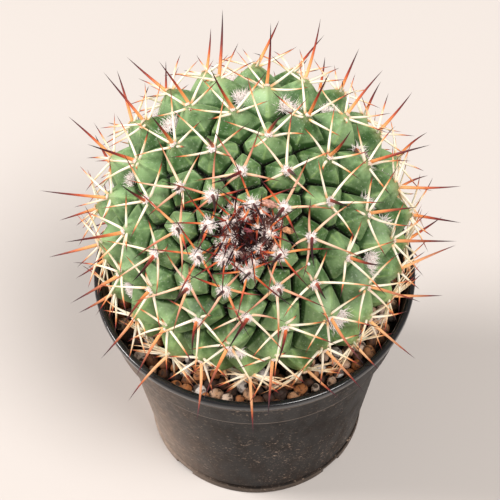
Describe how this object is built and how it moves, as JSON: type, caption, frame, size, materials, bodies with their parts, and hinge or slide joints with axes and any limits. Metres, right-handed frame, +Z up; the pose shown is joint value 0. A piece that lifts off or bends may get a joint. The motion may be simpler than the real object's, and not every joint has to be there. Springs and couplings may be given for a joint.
{
  "type": "potted round cactus",
  "caption": "Round cactus with four-sided tubercles, woolly areoles and stiff spines, rooted in granules in a black nursery pot that stands on its flat underside.",
  "frame": {"origin": "the middle of the pot's underside, on the surface that it stands on", "axes": "+Z up, out of the pot's mouth; -Y is the front, the side that the crown leans towards; +X is to the right of the front view"},
  "size_m": [0.1341, 0.1376, 0.1833],
  "materials": {
    "pot": "thin moulded black plastic, semi-matt, dusty and lightly scratched",
    "substrate": "loose rounded granules of fired clay, pumice and lava",
    "cactus": "waxy green skin with fine pale dots",
    "spines": "smooth horny spines, ivory to orange red with near-black points",
    "wool": "short white felt and loose axil hairs"
  },
  "bodies": {
    "root": {"pot": "pot", "substrate": "substrate", "cactus": "cactus"}
  },
  "joints": []
}
